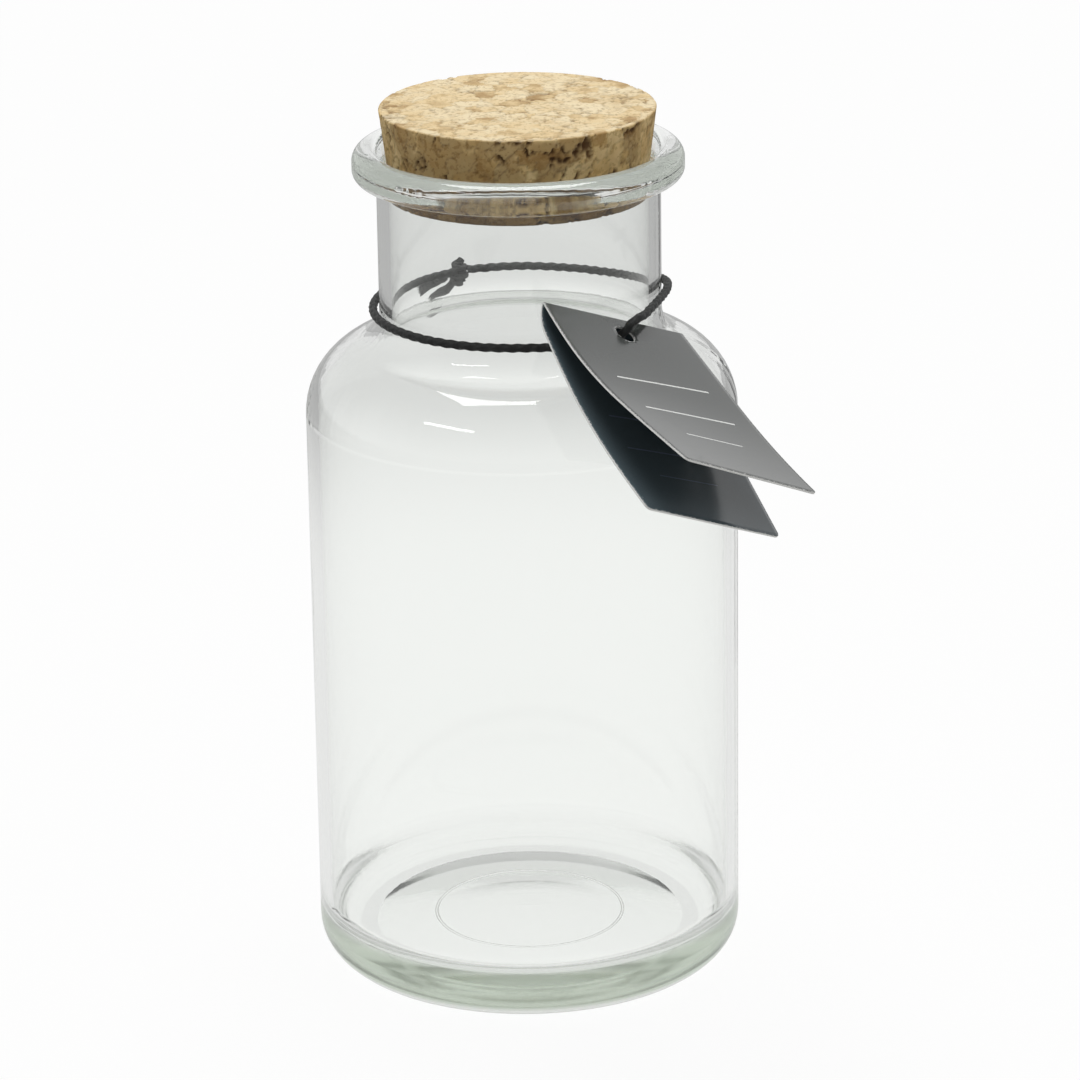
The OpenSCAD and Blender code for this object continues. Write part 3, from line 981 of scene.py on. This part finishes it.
@dataclass
class SwingTag:
    """The card folded in two over the cord, with a punched hole in each leaf."""

    finish: PrintedCard = PrintedCard()
    place: TagFrame = TagFrame()
    width: float = 43.0
    leaf: float = 61.35
    thickness: float = 0.5
    hole_d: float = 5.0
    hole_from_fold: float = 5.78
    corner_r: float = 1.4
    bevel: float = 0.05
    crease_r: float = 0.3
    back_angle: float = 8.0
    back_bend: float = 49.0
    back_bend_r: float = 8.0
    front_angle: float = 66.0
    front_flat: float = 28.0
    front_curl_r: float = 259.74
    front_twist: tuple[float, float] = (-0.058, -0.037)
    back_twist: tuple[float, float] = (-0.046, -0.029)
    front_bow: tuple[float, float] = (1.63, 0.63)
    back_bow: tuple[float, float] = (2.35, 0.0)
    parting_angle: float = 56.3
    parting_at: float = -0.47

    def leaf_line(self, angle: float, bend_at: float, radius: float, bend: float, along: np.ndarray) -> np.ndarray:
        """The middle of one leaf's thickness, in the tag's YZ plane.

        Args:
            angle: The leaf's angle where it leaves the fold, from -Z towards -Y.
            bend_at: Where its bend begins, from the fold.
            radius: The bend's radius.
            bend: The bend's angle.
            along: Distances from the fold.

        Returns:
            A point for each distance.
        """
        turned = np.clip((along - bend_at) / radius, 0, math.radians(bend))
        past = np.maximum(along - bend_at - radius * turned, 0)
        ahead = np.minimum(along, bend_at) + radius * np.sin(turned) + past * np.cos(turned)
        aside = radius * (1 - np.cos(turned)) + past * np.sin(turned)
        sine, cosine = math.sin(math.radians(angle)), math.cos(math.radians(angle))
        return np.column_stack([-ahead * sine - aside * cosine, -ahead * cosine + aside * sine])

    def middle_line(self) -> tuple[np.ndarray, np.ndarray]:
        """The middle of the card's thickness from the back leaf's end over the fold to the front's.

        Returns:
            The points in the tag's YZ plane, and the distance of each from the fold's crown.
        """
        opening = math.radians(self.front_angle - self.back_angle)
        reach = self.crease_r / math.tan(opening / 2)
        away = np.concatenate([np.linspace(reach, 10, 200), np.linspace(10.05, self.leaf + 2, 400)])
        back = self.leaf_line(self.back_angle, 0, self.back_bend_r, self.back_bend, away)[::-1]
        front = self.leaf_line(self.front_angle, self.front_flat, self.front_curl_r, 7.5, away)
        handle = 4 / 3 * math.tan((math.pi - opening) / 4) * self.crease_r
        start, end = back[-1], front[0]
        up = (back[-1] - back[-2]) / np.linalg.norm(back[-1] - back[-2]) * handle
        down = (front[1] - front[0]) / np.linalg.norm(front[1] - front[0]) * handle
        t = np.linspace(0, 1, 41)[1:-1, None]
        crease = ((1 - t) ** 3 * start + 3 * t * (1 - t) ** 2 * (start + up)
                  + 3 * t ** 2 * (1 - t) * (end - down) + t ** 3 * end)
        points = np.vstack([back, crease, front])
        walked = np.concatenate([[0.0], np.cumsum(np.linalg.norm(np.diff(points, axis=0), axis=1))])
        return points, walked - walked[len(back) + 19]

    def surface(self, flat: np.ndarray, above: np.ndarray) -> np.ndarray:
        """Bends points of the flat card to its folded shape.

        Args:
            flat: Points as across and along, in millimetres, with the fold at 0.
            above: How far each stands off the middle of the card, outwards.

        Returns:
            The points in the bottle's frame.
        """
        line, marks = self.middle_line()
        nudge = 0.01

        def bent(across: np.ndarray, along: np.ndarray) -> tuple[np.ndarray, np.ndarray]:
            """Points on the middle of the card, and the direction along each row."""
            y, z = (np.interp(along, marks, line[:, axis]) for axis in (0, 1))
            ahead = np.column_stack([np.interp(along + 0.02, marks, line[:, axis])
                                     - np.interp(along - 0.02, marks, line[:, axis]) for axis in (0, 1)])
            ahead /= np.linalg.norm(ahead, axis=1)[:, None]
            sign = np.sign(along)[:, None]
            down = np.column_stack([np.zeros(len(along)), ahead]) * sign
            out = np.column_stack([np.zeros(len(along)), ahead[:, 1], -ahead[:, 0]]) * sign
            share = np.abs(along) / self.leaf
            twist, skew = (np.where(along > 0, self.front_twist[k], self.back_twist[k]) * share for k in (0, 1))
            row = np.array([1.0, 0.0, 0.0]) * np.cos(twist)[:, None] + out * np.sin(twist)[:, None]
            row = row * np.cos(skew)[:, None] + down * np.sin(skew)[:, None]
            left = np.clip(0.5 - across / self.width, 0, 1) ** 1.2
            first, second = (np.where(along > 0, self.front_bow[k], self.back_bow[k]) for k in (0, 1))
            bow = left * (first * np.sin(math.pi * share) + second * np.sin(2 * math.pi * share))
            return np.column_stack([np.zeros(len(along)), y, z]) + across[:, None] * row - bow[:, None] * out, row

        across, along = flat.T
        points, rows = bent(across, along)
        ahead = bent(across, along + nudge)[0] - bent(across, along - nudge)[0]
        normals = np.cross(ahead, rows)
        normals /= np.linalg.norm(normals, axis=1)[:, None]
        return self.place.placed(points + normals * above[:, None])

    def rows(self) -> np.ndarray:
        """Distances along the card at which its mesh has rows, close together at the fold."""
        crease = np.linspace(0.04, 0.6, 12)
        near = np.arange(0.8, 9, 0.4)
        far = np.linspace(9.4, self.leaf - 1.2, 42)
        half = np.concatenate([crease, near, far])
        return np.concatenate([-half[::-1], half])

    def outline(self, grow: float) -> np.ndarray:
        """The card's flat outline.

        Args:
            grow: How far outside the bevel's inner edge it lies.

        Returns:
            Its points in order.
        """
        half_w, half_l = self.width / 2 - self.corner_r, self.leaf - self.corner_r
        reach = self.corner_r - self.bevel + grow
        side = self.rows()
        side = side[np.abs(side) < half_l]
        ends = np.linspace(-half_w, half_w, 30)[1:-1]
        corner = np.linspace(0, math.pi / 2, 6)
        parts = []
        for x, y, start in ((1, 1, 0.0), (-1, 1, 90.0), (-1, -1, 180.0), (1, -1, 270.0)):
            turned = corner + math.radians(start)
            parts.append(np.column_stack([x * half_w + reach * np.cos(turned), y * half_l + reach * np.sin(turned)]))
            if x == y == 1:
                parts.append(np.column_stack([ends[::-1], np.full(len(ends), half_l + reach)]))
            elif y == 1:
                parts.append(np.column_stack([np.full(len(side), -half_w - reach), side[::-1]]))
            elif x == -1:
                parts.append(np.column_stack([ends, np.full(len(ends), -half_l - reach)]))
            else:
                parts.append(np.column_stack([np.full(len(side), half_w + reach), side]))
        return np.vstack(parts)

    def hole(self, side: int, grow: float) -> np.ndarray:
        """A punched hole's flat outline.

        Args:
            side: 1 for the front leaf and -1 for the back.
            grow: How far inside the bevel's outer edge it lies.

        Returns:
            Its points in order.
        """
        turned = np.linspace(0, 2 * math.pi, 48, endpoint=False) * -1
        reach = self.hole_d / 2 + self.bevel - grow
        return np.column_stack([reach * np.cos(turned), side * self.hole_from_fold + reach * np.sin(turned)])

    def build(self) -> bpy.types.Object:
        """Builds the card's mesh.

        Returns:
            The piece.
        """
        loops = [self.outline(0), self.hole(1, 0), self.hole(-1, 0)]
        edges = [self.outline(self.bevel), self.hole(1, self.bevel), self.hole(-1, self.bevel)]
        columns = np.linspace(-self.width / 2 + 1.2, self.width / 2 - 1.2, 30)
        inner = np.array([(x, y) for y in self.rows() for x in columns])
        for side in (1, -1):
            off = np.linalg.norm(inner - (0, side * self.hole_from_fold), axis=1)
            inner = inner[off > self.hole_d / 2 + 0.45]
        flat = np.vstack([*loops, inner])
        bounds, first = [], 0
        for loop in loops:
            numbers = np.arange(first, first + len(loop))
            bounds += list(zip(numbers.tolist(), np.roll(numbers, -1).tolist()))
            first += len(loop)
        made = geometry.delaunay_2d_cdt([Vector(p) for p in flat], bounds, [], 0, 1e-7)
        flat = np.array([tuple(p) for p in made[0]])
        origin = [numbers[0] if numbers else -1 for numbers in made[3]]
        triangles = []
        for face in made[2]:
            centre = flat[list(face)].mean(axis=0)
            if all(np.linalg.norm(centre - (0, side * self.hole_from_fold)) > self.hole_d / 2 for side in (1, -1)):
                triangles.append(tuple(face))
        half = self.thickness / 2
        count = len(flat)
        at_edge = {number: index for index, number in enumerate(origin) if 0 <= number < first}
        points = [self.surface(flat, np.full(count, half)), self.surface(flat, np.full(count, -half))]
        faces = triangles + [tuple(count + k for k in reversed(face)) for face in triangles]
        slots = [CardSide.OUTER.value] * len(triangles) + [CardSide.INNER.value] * len(triangles)
        coords, total, start = [flat, flat], 2 * count, 0
        for loop, edge in zip(loops, edges):
            size = len(loop)
            upper = [at_edge[start + k] for k in range(size)]
            for height in (half - self.bevel, self.bevel - half):
                points.append(self.surface(edge, np.full(size, height)))
                coords.append(edge)
            rings = [upper, list(range(total, total + size)), list(range(total + size, total + 2 * size)),
                     [count + k for k in upper]]
            total += 2 * size
            start += size
            for (high, low), side in zip(zip(rings, rings[1:]), (CardSide.OUTER, CardSide.CORE, CardSide.INNER)):
                for k in range(size):
                    after = (k + 1) % size
                    faces.append((high[k], low[k], low[after], high[after]))
                    slots.append(side.value)
        coords = np.vstack(coords)
        to_side = self.width / 2 - np.abs(coords[:, 0])
        to_end = self.leaf - np.abs(coords[:, 1])
        to_fold = np.abs(coords[:, 1]) + 0.1
        to_hole = [np.linalg.norm(coords - (0, side * self.hole_from_fold), axis=1) - self.hole_d / 2
                   for side in (1, -1)]
        edge = np.minimum.reduce([to_side, to_end, to_fold, *to_hole])
        card = make_piece("folded_card", np.vstack(points), faces,
                          {"across": coords[:, 0], "along": coords[:, 1], "edge": edge})
        card.data.polygons.foreach_set("material_index", slots)
        sharp = [polygon.material_index == CardSide.CORE.value for polygon in card.data.polygons]
        card.data.polygons.foreach_set("use_smooth", [not value for value in sharp])
        return card

    def dress(self, effects: Effects) -> None:
        """Builds the card and finishes it.

        Args:
            effects: The shared node groups.
        """
        card = self.build()
        for side in CardSide:
            card.data.materials.append(self.finish.material(effects, side))
        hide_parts("tag_back_leaf", "tag_front_leaf")
        parting = math.radians(self.parting_angle)
        across = np.array([[0.0, -math.cos(parting), math.sin(parting)]])
        start, end = (self.place.placed(across * (self.parting_at + half))[0] * MM for half in (-0.3, 0.3))
        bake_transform(card)
        LOG.info("tag: %d faces", len(card.data.polygons))


# ---------------------------------------------------------------- studio


@dataclass(frozen=True)
class SoftLamp:
    """A soft rectangular lamp aimed at the bottle."""

    name: str
    place: tuple[float, float, float]
    width: float
    height: float
    power: float


@dataclass
class Studio:
    """Camera, lamps, world and floor."""

    camera_at: tuple[float, float, float] = (0.0, -1.1120, 0.4913)
    camera_aim: tuple[float, float, float] = (0.00372, 0.0, 0.10199)
    camera_roll: float = -0.8285
    lens: float = 168.02
    floor_r: float = 6.0
    bounces: int = 64
    floor_colour: Colour = (0.66, 0.66, 0.65, 1.0)
    lamps: tuple[SoftLamp, ...] = (
        SoftLamp("key_lamp", (-1.1, -1.0, 1.5), 0.9, 0.12, 3.0),
        SoftLamp("fill_lamp", (1.3, -0.7, 1.1), 0.7, 1.0, 2.5),
        SoftLamp("top_lamp", (0.0, 0.3, 1.8), 1.2, 0.8, 22.0),
    )

    def camera(self) -> None:
        """Places the camera."""
        data = bpy.data.cameras.new("camera")
        data.lens = self.lens
        data.sensor_width = 36.0
        data.clip_end = 50.0
        camera = bpy.data.objects.new("camera", data)
        aim = Vector(self.camera_aim) - Vector(self.camera_at)
        turned = aim.to_track_quat("-Z", "Y").to_matrix() @ Matrix.Rotation(math.radians(self.camera_roll), 3, "Z")
        camera.matrix_world = Matrix.Translation(self.camera_at) @ turned.to_4x4()
        bpy.context.scene.collection.objects.link(camera)
        bpy.context.scene.camera = camera

    def lights(self) -> None:
        """Hangs the lamps, all aimed at the middle of the bottle."""
        for lamp in self.lamps:
            data = bpy.data.lights.new(lamp.name, "AREA")
            data.shape = "RECTANGLE"
            data.size, data.size_y, data.energy = lamp.width, lamp.height, lamp.power
            light = bpy.data.objects.new(lamp.name, data)
            light.location = lamp.place
            light.rotation_euler = (Vector((0, 0, 0.1)) - light.location).to_track_quat("-Z", "Y").to_euler()
            light.visible_camera = light.visible_transmission = False
            bpy.context.scene.collection.objects.link(light)

    @staticmethod
    def pick(tree: NodeTree, path: object, camera: object, through: object, mirrored: object,
             other: float) -> bpy.types.NodeSocket:
        """Picks a value by the kind of ray that asks.

        Args:
            tree: The tree to add to.
            path: The outputs of its Light Path node.
            camera: The value for the camera's own rays.
            through: The value for rays that came through glass.
            mirrored: The value for rays that came off a shiny surface.
            other: The value for all other rays.

        Returns:
            The picked value's socket.
        """
        bounced = tree.maths("MINIMUM", path["Glossy Depth"], 1.0)
        seen = tree.add("ShaderNodeMix", {0: bounced, 2: through, 3: mirrored}).outputs[0]
        clear = tree.maths("MAXIMUM", path["Is Glossy Ray"], path["Is Transmission Ray"])
        first = tree.maths("SUBTRACT", clear, path["Diffuse Depth"], clamp=True)
        value = tree.add("ShaderNodeMix", {0: first, 2: other, 3: seen}).outputs[0]
        return tree.add("ShaderNodeMix", {0: path["Is Camera Ray"], 2: value, 3: camera}).outputs[0]

    def world(self) -> None:
        """Lights the scene evenly, and shows white behind it."""
        world = bpy.data.worlds.new("studio")
        bpy.context.scene.world = world
        world.use_nodes = True
        tree = NodeTree(world.node_tree)
        path = tree.add("ShaderNodeLightPath").outputs
        ray = tree.add("ShaderNodeSeparateXYZ", {0: tree.where(Coords.GENERATED)}).outputs
        sky = tree.spread(ray[2], 0.05, 0.75, 0.80, 0.60)
        through = tree.spread(ray[2], 0.05, 0.75, 0.80, 0.70)
        mirrored = tree.maths("MULTIPLY", sky, tree.spread(ray[1], -0.7, 0.2, 0.66, 1.0))
        strength = self.pick(tree, path, 1.0, through, mirrored, 0.30)
        light = tree.add("ShaderNodeBackground", {"Color": (1, 1, 1, 1), "Strength": strength})
        output = tree.add("ShaderNodeOutputWorld")
        tree.feed(output.inputs["Surface"], light.outputs[0])

    def floor(self) -> None:
        """Lays the floor, which shows white and still takes the bottle's shadow."""
        angles = np.arange(96) * 2 * math.pi / 96
        ring = np.column_stack([np.cos(angles), np.sin(angles), np.zeros(96)]) * self.floor_r / MM
        floor = make_piece("studio_floor", ring, [tuple(range(96))])
        tree = MaterialTree("studio_floor")
        path = tree.add("ShaderNodeLightPath").outputs
        away = tree.add("ShaderNodeVectorMath", {0: tree.where(Coords.OBJECT)}, operation="LENGTH").outputs[1]
        through = tree.spread(away, 0.28, 0.52, 1.0, 0.80)
        mirrored = tree.spread(away, 0.28, 0.52, 0.85, 0.45)
        matt = tree.add("ShaderNodeBsdfDiffuse", {"Color": self.floor_colour})
        glow = tree.add("ShaderNodeEmission", {
            "Color": (1, 1, 1, 1), "Strength": self.pick(tree, path, 1.02, through, mirrored, 0.0)})
        white = tree.spread(away, 0.4, 2.5, 0.91, 1.0)
        shown = tree.add("ShaderNodeMixShader", {0: self.pick(tree, path, white, 1.0, 0.85, 0.0),
                                                 1: matt.outputs[0], 2: glow.outputs[0]})
        tree.feed(tree.output.inputs["Surface"], shown.outputs[0])
        floor.data.materials.append(tree.material)

    def build(self) -> None:
        """Sets up the whole studio."""
        self.camera()
        self.lights()
        self.world()
        self.floor()
        cycles = bpy.context.scene.cycles
        cycles.max_bounces = cycles.transmission_bounces = cycles.glossy_bounces = self.bounces
        bpy.context.scene.view_settings.view_transform = "Standard"


def main() -> None:
    """Builds the studio and dresses the bottle, the cord, the tag and the stopper."""
    logging.basicConfig(level=logging.INFO, format="%(name)s: %(message)s")
    effects = Effects(grain_group(), smudge_group())
    Studio().build()
    NeckCord().dress(effects)
    SwingTag().dress(effects)
    Bottle().dress(effects)
    Stopper().dress(effects)


if __name__ == "__main__":
    main()
